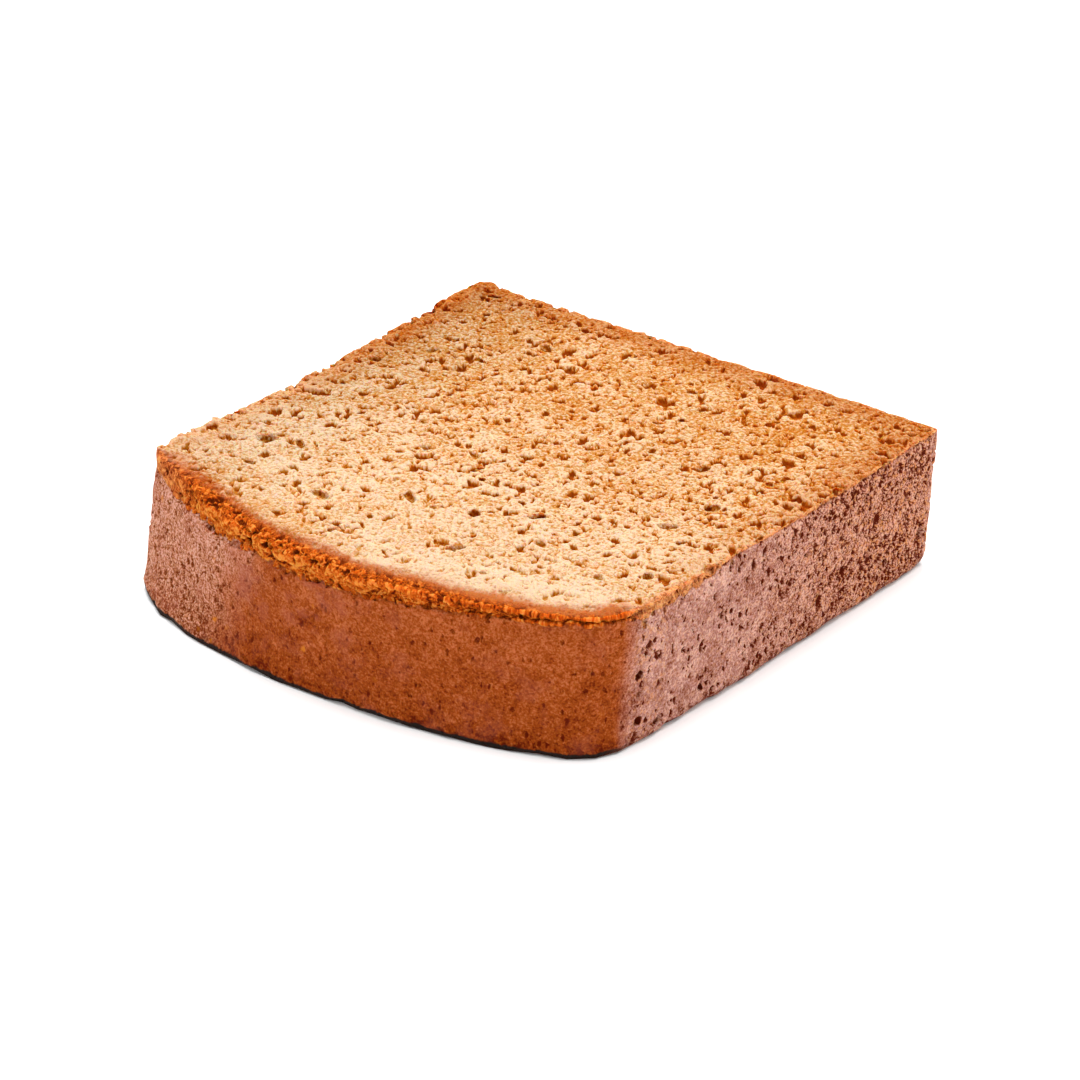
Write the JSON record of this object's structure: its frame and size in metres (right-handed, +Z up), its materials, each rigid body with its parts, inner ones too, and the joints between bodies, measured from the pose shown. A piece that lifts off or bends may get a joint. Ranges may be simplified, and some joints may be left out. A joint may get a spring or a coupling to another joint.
{
  "type": "banana bread slice",
  "caption": "Thick slice of banana bread lying on a cut face, with an open golden crumb, a domed brown crust and a torn rim.",
  "frame": {"origin": "centre of the bounding box of the slice, on the flat lower cut face that it lies on", "axes": "+Z up out of the upper cut face, -Y towards the domed crown of the loaf, +Y towards its flat base, +X across the loaf"},
  "size_m": [0.1014, 0.1, 0.0269],
  "materials": {
    "banana_bread": "soft, matt, open crumb on the cut faces and a thin browned crust round the edge"
  },
  "bodies": {
    "root": {"banana_bread_slice": "banana_bread"}
  },
  "joints": []
}
